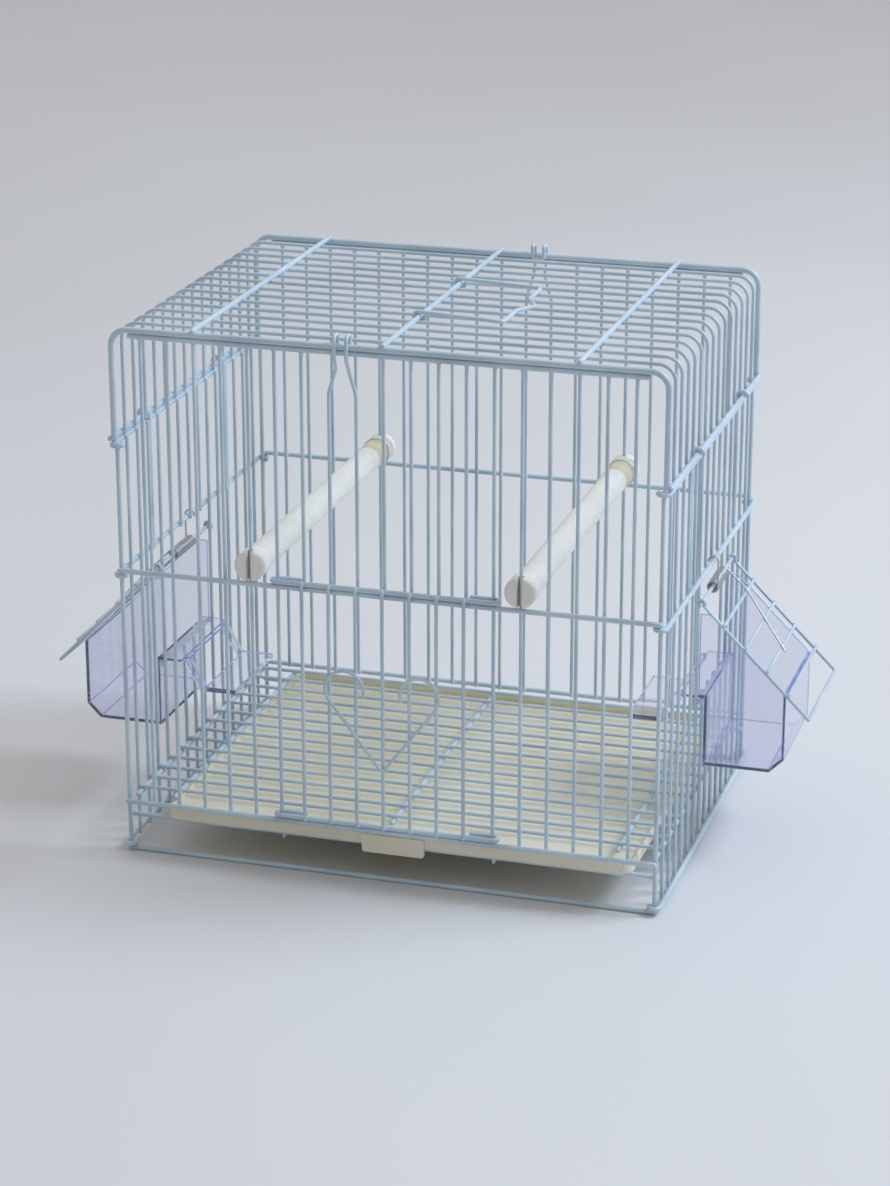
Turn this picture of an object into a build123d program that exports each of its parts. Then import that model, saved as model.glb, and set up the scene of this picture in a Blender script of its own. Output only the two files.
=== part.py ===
from build123d import *

import os
from math import asin, atan2, cos, degrees, hypot, pi, radians, sin, sqrt

# Folding travel cage for a small bird.
# Millimetres, +Z up, +X to the right and +Y to the back, seen from the front.
# The origin is on the ground, midway between the four corner posts.
# The wires are powder-coated steel, the tray, cups and perches are moulded plastic.

# Overall size, between wire centres
cage_width = 260.0
cage_depth = 195.0
cage_height = 260.0
bays_wide = 20
bays_deep = 15

# Wire radii
thin_radius = 0.9
rail_radius = 1.25
edge_radius = 1.5
post_radius = 1.1
hook_radius = 1.1
handle_radius = 1.0
heart_radius = 0.8
flap_wire_radius = 0.8
spring_radius = 0.45

# How wires meet
weld_depth = 0.2
touch_depth = 0.05
running_gap = 0.3
seat_gap = 0.1
foot_flat_depth = 0.1

# Heights of the rails' centres
middle_rail_height = 143.5
seam_rail_height = 204.6
roof_rail_height = 207.4
sill_rail_height = 26.0
grille_rail_height = 26.0
tray_rail_height = 18.0
cup_rail_height = 77.0

# Roof
roof_overhang = 1.3
roof_bend_radius = 8.0
roof_cross_spread = 91.0
roof_hook_wires = (4, 12)
roof_hook_turn = 200.0
post_eye_turn = 240.0

# Latches: a hairpin of two uprights that passes in front of the roof's edge wire and over it
latch_wires = (8, 9)
latch_neck_drop = 22.0
latch_throat_drop = 10.0
latch_shoulder_drop = 5.5
latch_rise = 5.4
latch_tip_drop = 1.2
latch_half_width = 2.9
latch_bends = (8.0, 2.0, 2.0, 2.4, 1.4, 1.4)

# Carrying handle
handle_eye_front = -43.0
handle_eye_back = 23.5
handle_eye_gap = 0.15
handle_eye_turn = 290.0
handle_reach = 40.5
handle_notch_depth = 6.0
handle_notch_half_width = 11.0
handle_corner_radius = 3.0

# Sliding door and its heart
door_guides = (6, 14)
door_tip_length = 12.0
heart_point_height = 58.0
heart_lobe_height = 97.3
heart_lobe_offset = 18.2
heart_lobe_radius = 9.4
heart_end_angle = 200.0

# Floor grille
grille_cross_spread = 110.0
grille_end_gap = 8.0

# Tray
tray_width = 230.0
tray_offset = 4.0
tray_back_gap = 2.0
tray_wall = 1.2
tray_rim_height = 4.4
tray_lip_height = 5.0
tray_corner_radius = 6.0
tray_tab_width = 30.6
tray_tab_drop = 9.0
tray_tab_thickness = 1.6
tray_tab_corner = 1.5
tray_runner_place = 52.0

# Feeder opening in the right side panel; the left side is the same, turned by half a turn
opening_wires = (6, 11)
opening_rail_overhang = 1.8

# Flap
flap_pivot_height = 127.5
flap_slope = 45.0
flap_length = 75.0
flap_rungs = 4
flap_side_gap = 0.5
flap_eye_gap = 0.15
flap_eye_turn = 300.0

# Cup
cup_reach = 173.5
cup_bottom = 44.0
cup_wall = 1.2
cup_side_gap = 0.4
cup_chamfer = 7.0
cup_flap_gap = 1.6
cup_wing_top = 121.0
cup_wing_inner = 131.2
cup_lip_inner = 122.5

# Perch ledge
ledge_end_inset = 4.0
ledge_arm_width = 3.0
ledge_arm_thickness = 2.4
ledge_shelf_inner = 96.0
ledge_shelf_outer = 112.0
ledge_shelf_top = 65.0
ledge_shelf_thickness = 2.5

# Torsion springs
spring_mean_radius = 2.55
spring_turns = 16
spring_pitch = 1.5
spring_start = 2.5
spring_lead = 12.0
spring_kink = 4.0
spring_leg_end = 47.0
spring_leg_slant = -0.55
spring_tip = 0.9

# Perches
perch_wires = (5, 15)
perch_cap_radius = 7.35
perch_cap_length = 11.0
perch_cap_overhang = 4.0
perch_cap_round = 1.6
perch_shaft_radius = 6.5
perch_grooves = 24
perch_groove_radius = 0.45
perch_slot_gap = 0.3

# Worked-out values
half_width = cage_width / 2
half_depth = cage_depth / 2
pitch_x = cage_width / bays_wide
pitch_y = cage_depth / bays_deep
rail_out = thin_radius + rail_radius - weld_depth
post_y = half_depth + rail_out - rail_radius - post_radius + touch_depth
ground_rail_height = rail_radius - foot_flat_depth
post_eye_radius = post_radius + rail_radius + touch_depth
side_rail_x = half_width + post_eye_radius
side_wire_x = side_rail_x - rail_out
grille_rail_x = side_wire_x - rail_out
side_ground_height = ground_rail_height + 2 * rail_radius + seat_gap
side_middle_height = middle_rail_height - 2 * rail_radius - seat_gap
panel_top_height = cage_height - edge_radius - rail_radius - touch_depth
roof_leg_x = half_width + roof_overhang
roof_rail_x = roof_leg_x + rail_out
roof_cross_height = cage_height + rail_out
roof_bend_start = roof_leg_x - roof_bend_radius
roof_side_end = half_depth + edge_radius
front_end = half_width + post_radius


def wire_x(number):
    """Place across the cage of an upright in the front or back panel."""
    return -half_width + pitch_x * number


def wire_y(number):
    """Place along the cage of an upright in a side panel or of a roof wire."""
    return -half_depth + pitch_y * number


def turned(x, y, z, side):
    """A point of the right-hand side (1), or of the left-hand side by half a turn (-1)."""
    return Vector(side * x, side * y, z)


def rods(starts, run, radius):
    """Add straight wires of one direction and length, one from each start."""
    direction = Vector(*run)
    plane = Plane(origin=starts[0], z_dir=direction)
    with BuildSketch(plane) as section:
        with Locations(*[plane.to_local_coords(Vector(*start)) for start in starts]):
            Circle(radius)
    extrude(section.sketch, amount=direction.length)


def sweep_wire(route, radius):
    """Add a wire along a finished line."""
    with BuildSketch(Plane(origin=route @ 0, z_dir=route % 0)) as section:
        Circle(radius)
    sweep(section.sketch, path=route)


def save(piece, name):
    """Label a finished piece and write its file."""
    piece.part.label = name
    export_step(piece.part, f"parts/{name}.step")


os.makedirs("parts", exist_ok=True)


# Front and back panels: uprights, with a top rail in line and two rails on their outer side.
# The two uprights of the latch are left out.
def latch_places(facing):
    """Places across the cage of the two uprights that a latch is made of."""
    return sorted(-facing * wire_x(number) for number in latch_wires)


def add_panel(facing, tall_wires, short_wires):
    """Add one panel's wires; facing is -1 at the front and 1 at the back."""
    plane = facing * half_depth
    for numbers, bottom in ((tall_wires, sill_rail_height), (short_wires, middle_rail_height)):
        free = [wire_x(n) for n in numbers if round(wire_x(n), 3) not in latch_rounded[facing]]
        if free:
            rods([(x, plane, bottom) for x in free], (0, 0, panel_top_height - bottom), thin_radius)
    rail_plane = facing * (half_depth + rail_out)
    rods([(-front_end, rail_plane, height) for height in (middle_rail_height, sill_rail_height)],
         (2 * front_end, 0, 0), rail_radius)
    rods([(-roof_bend_start, plane, panel_top_height)], (2 * roof_bend_start, 0, 0), rail_radius)


latch_rounded = {facing: [round(x, 3) for x in latch_places(facing)] for facing in (-1, 1)}
doorway = range(door_guides[0] + 1, door_guides[1])
all_uprights = range(1, bays_wide)

with BuildPart() as front_panel:
    add_panel(-1, [n for n in all_uprights if n not in doorway], doorway)
save(front_panel, "front_panel")

with BuildPart() as back_panel:
    add_panel(1, all_uprights, ())
save(back_panel, "back_panel")


# Roof latches
def add_latch(facing, foot_height):
    """Add the hairpin, from the foot of one leg over the roof's edge wire to the other foot."""
    inner = facing * (half_depth - weld_depth + touch_depth)
    outer = facing * (half_depth + edge_radius + thin_radius + running_gap)
    behind = facing * (half_depth - edge_radius - thin_radius - running_gap)
    first, last = latch_places(facing)
    middle = (first + last) / 2
    top = cage_height + latch_rise
    half = [
        (first, inner, foot_height),
        (first, inner, cage_height - latch_neck_drop),
        (middle - latch_half_width, inner, cage_height - latch_throat_drop),
        (middle - latch_half_width, outer, cage_height - latch_shoulder_drop),
        (middle - latch_half_width, outer, top),
        (middle - latch_half_width, behind, top),
        (middle - latch_half_width, behind, cage_height - latch_tip_drop),
    ]
    other_half = [(2 * middle - x, y, z) for x, y, z in reversed(half)]
    with BuildLine() as route:
        FilletPolyline(*half, *other_half, radius=latch_bends + latch_bends[::-1])
    sweep_wire(route.line, thin_radius)


with BuildPart() as front_latch:
    add_latch(-1, middle_rail_height - rail_radius)
save(front_latch, "roof_latch_front")

with BuildPart() as back_latch:
    add_latch(1, sill_rail_height - rail_radius)
save(back_latch, "roof_latch_back")


# Corner posts, ground rails and tray rails
tray_rail_y = post_y - post_radius - rail_radius + touch_depth
post_foot = ground_rail_height + rail_radius - touch_depth

for end_name, facing in (("front", -1), ("back", 1)):
    for side_name, side in (("left", -1), ("right", 1)):
        with BuildPart() as post:
            rods([(side * half_width, facing * post_y, post_foot)],
                 (0, 0, seam_rail_height + rail_radius - post_foot), post_radius)
        save(post, f"corner_post_{end_name}_{side_name}")

    with BuildPart() as ground_rail:
        rods([(-front_end, facing * post_y, ground_rail_height)], (2 * front_end, 0, 0), rail_radius)
        split(bisect_by=Plane.XY, keep=Keep.TOP)
    save(ground_rail, f"ground_rail_{end_name}")

    with BuildPart() as tray_rail:
        rods([(-front_end, facing * tray_rail_y, tray_rail_height)], (2 * front_end, 0, 0), rail_radius)
    save(tray_rail, f"tray_rail_{end_name}")

with BuildPart() as tray_runners:
    runner_height = tray_rail_height - rail_radius - thin_radius + touch_depth
    runner_end = tray_rail_y + rail_radius
    rods([(x, -runner_end, runner_height) for x in (-tray_runner_place, tray_runner_place)],
         (0, 2 * runner_end, 0), thin_radius)
save(tray_runners, "tray_runners")


# Side panels: uprights, three rails whose ends curl round the corner posts,
# a rail inside for the floor grille, the feeder's rail, and two hooks over the roof's rail.
opening_first = wire_y(opening_wires[0])
opening_last = wire_y(opening_wires[1])
cut_wires = range(opening_wires[0] + 1, opening_wires[1])


def add_eyed_rail(side, height):
    """Add a rail with an eye round each corner post."""
    rods([(side * side_rail_x, -post_y, height)], (0, 2 * post_y, 0), rail_radius)
    for facing in (-1, 1):
        with BuildLine(Plane.XY.offset(height)) as eye:
            CenterArc((side * half_width, facing * post_y), post_eye_radius, 90 - 90 * side,
                      side * facing * post_eye_turn)
        sweep_wire(eye.line, rail_radius)


def add_roof_hook(side, y):
    """Add an upright that curls over the roof's lower rail from inside."""
    curl_radius = rail_radius + hook_radius + running_gap
    foot = turned(roof_rail_x - curl_radius, y, side_middle_height, side)
    rods([foot], (0, 0, roof_rail_height - side_middle_height), hook_radius)
    curl_plane = Plane(origin=turned(roof_rail_x, y, roof_rail_height, side), x_dir=(side, 0, 0),
                       z_dir=(0, -side, 0))
    with BuildLine(curl_plane) as curl:
        CenterArc((0, 0), curl_radius, 180, -roof_hook_turn)
    sweep_wire(curl.line, hook_radius)


def add_side_panel(side):
    """Add every wire of one side panel."""
    foot = side_ground_height - thin_radius
    head = seam_rail_height + thin_radius
    full = [wire_y(n) for n in range(1, bays_deep) if n not in cut_wires]
    cut = [wire_y(n) for n in cut_wires]
    spans = ((full, foot, head), (cut, foot, cup_rail_height), (cut, side_middle_height, head))
    for places, low, high in spans:
        rods([turned(side_wire_x, y, low, side) for y in places], (0, 0, high - low), thin_radius)
    for height in (side_ground_height, side_middle_height, seam_rail_height):
        add_eyed_rail(side, height)
    grille_rail_end = half_depth - pitch_y / 2
    rods([turned(grille_rail_x, -grille_rail_end, grille_rail_height, side)],
         (0, side * 2 * grille_rail_end, 0), rail_radius)
    cup_rail_start = opening_first - opening_rail_overhang
    cup_rail_end = opening_last + opening_rail_overhang
    rods([turned(side_rail_x, cup_rail_start, cup_rail_height, side)],
         (0, side * (cup_rail_end - cup_rail_start), 0), rail_radius)
    hook_shift = thin_radius + hook_radius + running_gap
    for number, shift in zip(roof_hook_wires, (hook_shift, -hook_shift)):
        add_roof_hook(side, wire_y(number) + shift)


with BuildPart() as left_side:
    add_side_panel(-1)
save(left_side, "side_panel_left")

with BuildPart() as right_side:
    add(left_side.part.rotate(Axis.Z, 180))
save(right_side, "side_panel_right")


# Floor grille: its wires lie on the side panels' inner rails
grille_height = grille_rail_height + rail_radius + thin_radius - touch_depth
grille_end = side_wire_x - thin_radius - seat_gap
grille_cross_end = half_depth - grille_end_gap

with BuildPart() as floor_grille:
    rods([(-grille_end, wire_y(n), grille_height) for n in range(1, bays_deep)],
         (2 * grille_end, 0, 0), thin_radius)
    rods([(x, -grille_cross_end, grille_height - rail_out)
          for x in (-grille_cross_spread, 0, grille_cross_spread)],
         (0, 2 * grille_cross_end, 0), rail_radius)
save(floor_grille, "floor_grille")


# Roof: its wires run across the top, bend down both sides and end on a rail.
# The first and the last wire are the thick edge wires.
inner_roof_wires = [wire_y(n) for n in range(1, bays_deep)]
edge_wires = [-half_depth, half_depth]

with BuildPart() as roof_top:
    for places, radius in ((inner_roof_wires, thin_radius), (edge_wires, edge_radius)):
        rods([(-roof_bend_start, y, cage_height) for y in places], (2 * roof_bend_start, 0, 0), radius)
    rods([(x, -roof_side_end, roof_cross_height) for x in (-roof_cross_spread, 0, roof_cross_spread)],
         (0, 2 * roof_side_end, 0), rail_radius)
save(roof_top, "roof_top_grille")


def add_roof_leg(side):
    """Add the bent-down ends of the roof's wires on one side, and their rail."""
    leg_end = roof_rail_height - rail_radius
    for places, radius in ((inner_roof_wires, thin_radius), (edge_wires, edge_radius)):
        for y in places:
            with BuildLine(Plane(origin=(0, y, 0), x_dir=(1, 0, 0), z_dir=(0, -1, 0))) as route:
                bend = JernArc((side * roof_bend_start, cage_height), (side, 0), roof_bend_radius,
                               -side * 90)
                Line(bend @ 1, (side * roof_leg_x, leg_end))
            sweep_wire(route.line, radius)
    rods([(side * roof_rail_x, -roof_side_end, roof_rail_height)], (0, 2 * roof_side_end, 0), rail_radius)


with BuildPart() as left_leg:
    add_roof_leg(-1)
save(left_leg, "roof_leg_left")

with BuildPart() as right_leg:
    add_roof_leg(1)
save(right_leg, "roof_leg_right")


# Carrying handle: a bail that turns on the roof's middle cross wire and rests on the roof
handle_eye_radius = rail_radius + handle_radius + handle_eye_gap
handle_span = handle_reach + handle_notch_depth
handle_rise = cage_height + thin_radius + handle_radius + running_gap - roof_cross_height
handle_tilt = asin(handle_eye_radius / hypot(handle_span, handle_rise)) - atan2(handle_rise, handle_span)
handle_middle = (handle_eye_front + handle_eye_back) / 2
handle_arm = handle_reach * cos(handle_tilt)

with BuildPart() as handle:
    bail_plane = Plane(
        origin=(handle_eye_radius * sin(handle_tilt), 0,
                roof_cross_height + handle_eye_radius * cos(handle_tilt)),
        x_dir=(cos(handle_tilt), 0, -sin(handle_tilt)),
        z_dir=(sin(handle_tilt), 0, cos(handle_tilt)),
    )
    with BuildLine(bail_plane) as bail:
        FilletPolyline(
            (0, handle_eye_front),
            (handle_arm, handle_eye_front),
            (handle_arm, handle_middle - handle_notch_half_width),
            (handle_arm + handle_notch_depth, handle_middle),
            (handle_arm, handle_middle + handle_notch_half_width),
            (handle_arm, handle_eye_back),
            (0, handle_eye_back),
            radius=handle_corner_radius,
        )
    sweep_wire(bail.line, handle_radius)
    for y in (handle_eye_front, handle_eye_back):
        with BuildLine(Plane(origin=(0, y, roof_cross_height), x_dir=(1, 0, 0), z_dir=(0, -1, 0))) as eye:
            CenterArc((0, 0), handle_eye_radius, 90 - degrees(handle_tilt), handle_eye_turn)
        sweep_wire(eye.line, handle_radius)
save(handle, "carrying_handle")


# Sliding door: the ends of its rails curl round two guide uprights
guide_left = wire_x(door_guides[0])
guide_right = wire_x(door_guides[1])
door_curl_radius = thin_radius + rail_radius + running_gap
door_outer = -half_depth - door_curl_radius
door_inner = -half_depth + door_curl_radius
door_upright_y = door_outer - rail_out
door_bottom = sill_rail_height + 2 * rail_radius + seat_gap
door_top = middle_rail_height + 2 * rail_radius + seat_gap
door_foot = door_bottom - thin_radius

with BuildPart() as door:
    for height in (door_bottom, door_top):
        with BuildLine(Plane.XY.offset(height)) as door_rail:
            Line((guide_left + door_tip_length, door_inner), (guide_left, door_inner))
            CenterArc((guide_left, -half_depth), door_curl_radius, 90, 180)
            Line((guide_left, door_outer), (guide_right, door_outer))
            CenterArc((guide_right, -half_depth), door_curl_radius, -90, 180)
            Line((guide_right, door_inner), (guide_right - door_tip_length, door_inner))
        sweep_wire(door_rail.line, rail_radius)
    rods([(wire_x(n), door_upright_y, door_foot) for n in doorway],
         (0, 0, door_top + thin_radius - door_foot), thin_radius)
save(door, "sliding_door")


# Heart on the door: two wires from a point, each round a lobe
heart_y = door_upright_y - thin_radius - heart_radius + touch_depth
heart_rise = heart_lobe_height - heart_point_height
heart_lean = asin(heart_lobe_radius / hypot(heart_lobe_offset, heart_rise))
heart_start_angle = degrees(atan2(heart_rise, heart_lobe_offset) - heart_lean) - 90

with BuildPart() as heart:
    for side in (-1, 1):
        with BuildLine(Plane(origin=(0, heart_y, 0), x_dir=(side, 0, 0), z_dir=(0, -side, 0))) as half:
            lobe = CenterArc((heart_lobe_offset, heart_lobe_height), heart_lobe_radius,
                             heart_start_angle, heart_end_angle - heart_start_angle)
            Line((0, heart_point_height), lobe @ 0)
        sweep_wire(half.line, heart_radius)
    with Locations((0, heart_y, heart_point_height)):
        Sphere(heart_radius)
save(heart, "door_heart")


# Tray: a shallow pan with a taller front lip and a pull tab
tray_floor = tray_rail_height + rail_radius + seat_gap
tray_front = -half_depth - rail_out + rail_radius / 2
tray_length = half_depth - tray_back_gap - tray_front
tray_middle = tray_front + tray_length / 2

with BuildPart() as tray:
    with BuildSketch(Plane.XY.offset(tray_floor)):
        with Locations((tray_offset, tray_middle)):
            RectangleRounded(tray_width, tray_length, tray_corner_radius)
    extrude(amount=tray_rim_height)
    with BuildSketch(Plane.XY.offset(tray_floor + tray_wall)):
        with Locations((tray_offset, tray_middle)):
            RectangleRounded(tray_width - 2 * tray_wall, tray_length - 2 * tray_wall,
                             tray_corner_radius - tray_wall)
    extrude(amount=tray_rim_height, mode=Mode.SUBTRACT)
    with BuildSketch(Plane.XY.offset(tray_floor)):
        with Locations((tray_offset, tray_front + tray_wall / 2)):
            Rectangle(tray_width - 2 * tray_corner_radius, tray_wall)
    extrude(amount=tray_lip_height)
    tab_plane = Plane(origin=(tray_offset, tray_front, tray_floor + tray_lip_height), x_dir=(1, 0, 0),
                      z_dir=(0, -1, 0))
    with BuildSketch(tab_plane):
        with Locations((0, -tray_tab_drop / 2)):
            RectangleRounded(tray_tab_width, tray_tab_drop, tray_tab_corner)
    extrude(amount=tray_tab_thickness)
save(tray, "tray")


# Feeders: on each side a hinge rod, a wire flap, its spring, a cup and a perch ledge
flap_rod_x = side_wire_x + 2 * thin_radius - touch_depth
flap_side = thin_radius + flap_side_gap + flap_wire_radius
flap_first = opening_first - flap_side
flap_last = opening_last + flap_side
flap_eye_radius = thin_radius + flap_wire_radius + flap_eye_gap
rung_pitch = flap_length / (flap_rungs + 1)
rung_out = spring_mean_radius - spring_radius - seat_gap - flap_wire_radius
slope = radians(flap_slope)


def on_flap(along, out, y, side):
    """A point of the flap: its distance from the rod, height off the flap and place along the cage."""
    x = flap_rod_x + along * cos(slope) + out * sin(slope)
    z = flap_pivot_height - along * sin(slope) + out * cos(slope)
    return turned(x, y, z, side)


def add_hinge_rod(side):
    """Add the rod that the flap turns on, welded across the uprights beside the opening."""
    overhang = flap_wire_radius + running_gap + thin_radius
    start = flap_first - overhang
    rods([turned(flap_rod_x, start, flap_pivot_height, side)],
         (0, side * (flap_last + overhang - start), 0), thin_radius)


def add_flap(side):
    """Add a ladder of wires with an eye at the top of each side wire."""
    places = (flap_first, flap_last)
    top = flap_eye_radius
    run = on_flap(flap_length, 0, 0, side) - on_flap(top, 0, 0, side)
    rods([on_flap(top, 0, y, side) for y in places], run, flap_wire_radius)
    for y in places:
        eye_plane = Plane(origin=on_flap(0, 0, y, side), x_dir=(side, 0, 0), z_dir=(0, -side, 0))
        with BuildLine(eye_plane) as eye:
            CenterArc((0, 0), flap_eye_radius, -flap_slope, flap_eye_turn)
        sweep_wire(eye.line, flap_wire_radius)
    width = flap_last - flap_first + 2 * flap_wire_radius
    rung_start = flap_first - flap_wire_radius
    rods([on_flap(n * rung_pitch, rung_out, rung_start, side) for n in range(1, flap_rungs + 1)],
         (0, side * width, 0), flap_wire_radius)
    rods([on_flap(flap_length, 0, rung_start, side)], (0, side * width, 0), flap_wire_radius)


def biarc(start, start_way, end, end_way):
    """Add two arcs that leave the start and reach the end in the given directions."""
    span = end - start
    along = span.dot(start_way + end_way)
    turn = 2 - 2 * start_way.dot(end_way)
    reach = (sqrt(along**2 + turn * span.dot(span)) - along) / turn
    first_corner = start + start_way * reach
    last_corner = end - end_way * reach
    middle = (first_corner + last_corner) * 0.5
    TangentArc(start, middle, tangent=start_way)
    TangentArc(middle, end, tangent=last_corner - first_corner)


spring_turn = 2 * pi * spring_turns - slope
spring_steps = 4 * spring_turns
spring_rise = spring_pitch / (2 * pi)


def coil_point(angle, side):
    """A point of the coil's centre line and its direction; the coil starts outside and goes down."""
    x = flap_rod_x + spring_mean_radius * cos(angle)
    z = flap_pivot_height - spring_mean_radius * sin(angle)
    way = turned(-spring_mean_radius * sin(angle), spring_rise, -spring_mean_radius * cos(angle), side)
    return turned(x, spring_start + spring_rise * angle, z, side), way.normalized()


def leg_point(along, y, side):
    """A point of the long leg, which lies on the flap's rungs."""
    return on_flap(along, spring_mean_radius, y, side)


def spring_route(side):
    """The hook over the middle rail, the coil, and the leg that presses on the flap."""
    hook_x = flap_rod_x + spring_mean_radius
    hook_inside = hook_x - side_rail_x
    down = Vector(0, 0, -1)
    with BuildLine() as route:
        tip = turned(side_rail_x - hook_inside, spring_start, side_middle_height, side)
        Line(tip - Vector(0, 0, spring_tip), tip)
        crown = turned(side_rail_x, spring_start, side_middle_height + hook_inside, side)
        over = turned(hook_x, spring_start, side_middle_height, side)
        ThreePointArc(tip, crown, over)
        start = turned(hook_x, spring_start, flap_pivot_height, side)
        Line(over, start)
        place, way = start, down
        for step in range(1, spring_steps + 1):
            next_place, next_way = coil_point(spring_turn * step / spring_steps, side)
            biarc(place, way, next_place, next_way)
            place, way = next_place, next_way
        lead_end = place + way * spring_lead
        Line(place, lead_end)
        bend_y = (lead_end.Y * side) + spring_kink * spring_leg_slant / 4
        along = spring_lead + spring_kink
        leg_start = leg_point(along, bend_y, side)
        leg_y = bend_y + (spring_leg_end - along) * spring_leg_slant
        leg_tip = leg_point(spring_leg_end, leg_y, side)
        biarc(lead_end, way, leg_start, (leg_tip - leg_start).normalized())
        Line(leg_start, leg_tip)
    return route.line


def add_cup(side):
    """Add the cup: a box with tall side wings, a lip over the feeder's rail and an open top."""
    first = opening_first + thin_radius + cup_side_gap
    width = opening_last - thin_radius - cup_side_gap - first
    back = side_rail_x + rail_radius + running_gap
    lip_bottom = cup_rail_height + rail_radius + seat_gap
    lip_top = lip_bottom + cup_wall
    edge_sum = flap_rod_x + flap_pivot_height - cup_flap_gap * sqrt(2)
    outline = [
        (back, cup_bottom),
        (cup_reach - cup_chamfer, cup_bottom),
        (cup_reach, cup_bottom + cup_chamfer),
        (cup_reach, edge_sum - cup_reach),
        (edge_sum - cup_wing_top, cup_wing_top),
        (cup_wing_inner, cup_wing_top),
        (cup_wing_inner, lip_bottom),
        (back, lip_bottom),
    ]
    inside = [
        (back + cup_wall, cup_bottom + cup_wall),
        (cup_reach - cup_chamfer - cup_wall * (sqrt(2) - 1), cup_bottom + cup_wall),
        (cup_reach - cup_wall, cup_bottom + cup_chamfer + cup_wall * (sqrt(2) - 1)),
        (cup_reach - cup_wall, cup_wing_top + cup_wall),
        (cup_lip_inner - cup_wall, cup_wing_top + cup_wall),
        (cup_lip_inner - cup_wall, lip_top),
        (back + cup_wall, lip_top),
    ]
    for corners, start, amount, mode in (
        (outline, first, width, Mode.ADD),
        (inside, first + cup_wall, width - 2 * cup_wall, Mode.SUBTRACT),
    ):
        plane = Plane(origin=turned(0, start, 0, side), x_dir=(side, 0, 0), z_dir=(0, -side, 0))
        with BuildSketch(plane) as section:
            with BuildLine():
                Polyline(*corners, close=True)
            make_face()
        extrude(section.sketch, amount=-amount, mode=mode)
    lip_plane = Plane(origin=turned(0, first, 0, side), x_dir=(side, 0, 0), z_dir=(0, -side, 0))
    with BuildSketch(lip_plane) as section:
        with Locations(((cup_lip_inner + back + cup_wall) / 2, (lip_bottom + lip_top) / 2)):
            Rectangle(back + cup_wall - cup_lip_inner, cup_wall)
    extrude(section.sketch, amount=-width)


def add_ledge(side):
    """Add the perch ledge: a shelf inside the cage on two arms that hang from the cup's lip."""
    first = opening_first + thin_radius + cup_side_gap + ledge_end_inset
    width = opening_last - thin_radius - cup_side_gap - ledge_end_inset - first
    lip_bottom = cup_rail_height + rail_radius + seat_gap
    lip_top = lip_bottom + cup_wall
    shelf_bottom = ledge_shelf_top - ledge_shelf_thickness
    arm = [
        (cup_lip_inner, lip_top),
        (cup_lip_inner, lip_bottom - ledge_arm_thickness),
        (ledge_shelf_outer + ledge_arm_thickness, shelf_bottom),
        (ledge_shelf_outer, shelf_bottom),
        (ledge_shelf_outer, ledge_shelf_top),
        (cup_lip_inner - ledge_arm_thickness, lip_top),
    ]
    for start in (first, first + width - ledge_arm_width):
        plane = Plane(origin=turned(0, start, 0, side), x_dir=(side, 0, 0), z_dir=(0, -side, 0))
        with BuildSketch(plane) as section:
            with BuildLine():
                Polyline(*arm, close=True)
            make_face()
        extrude(section.sketch, amount=-ledge_arm_width)
    plane = Plane(origin=turned(0, first, 0, side), x_dir=(side, 0, 0), z_dir=(0, -side, 0))
    with BuildSketch(plane) as section:
        with Locations(((ledge_shelf_inner + ledge_shelf_outer) / 2, (shelf_bottom + ledge_shelf_top) / 2)):
            Rectangle(ledge_shelf_outer - ledge_shelf_inner, ledge_shelf_thickness)
        with Locations((cup_lip_inner - ledge_arm_thickness / 2, (lip_bottom + lip_top) / 2)):
            Rectangle(ledge_arm_thickness, cup_wall)
    extrude(section.sketch, amount=-width)


for side_name, side in (("left", -1), ("right", 1)):
    with BuildPart() as hinge_rod:
        add_hinge_rod(side)
    save(hinge_rod, f"flap_hinge_rod_{side_name}")

    with BuildPart() as flap:
        add_flap(side)
    save(flap, f"feeder_flap_{side_name}")

    with BuildPart() as spring:
        sweep_wire(spring_route(side), spring_radius)
    save(spring, f"flap_spring_{side_name}")

    with BuildPart() as cup:
        add_cup(side)
    save(cup, f"feeder_cup_{side_name}")

    with BuildPart() as ledge:
        add_ledge(side)
    save(ledge, f"perch_ledge_{side_name}")


# Least gap of a spring to itself, on points a quarter turn apart and on their neighbours
spring_points = [coil_point(radians(10 * step), 1)[0] for step in range(int(degrees(spring_turn) / 10))]
least_gap = min(
    (spring_points[n] - spring_points[m]).length - 2 * spring_radius
    for n in range(len(spring_points))
    for m in range(n + 18, min(n + 60, len(spring_points)))
)
print(f"spring: least gap between turns {least_gap:.2f} mm")


# Perches: a grooved shaft between two caps, each slotted to straddle an upright.
# The caps rest on the panels' middle rails.
perch_height = middle_rail_height + rail_radius + perch_cap_radius + seat_gap
perch_cap_end = half_depth + perch_cap_overhang
perch_shaft_end = perch_cap_end - perch_cap_length
slot_depth = perch_cap_overhang + thin_radius + perch_slot_gap
slot_width = 2 * (thin_radius + perch_slot_gap)

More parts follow.
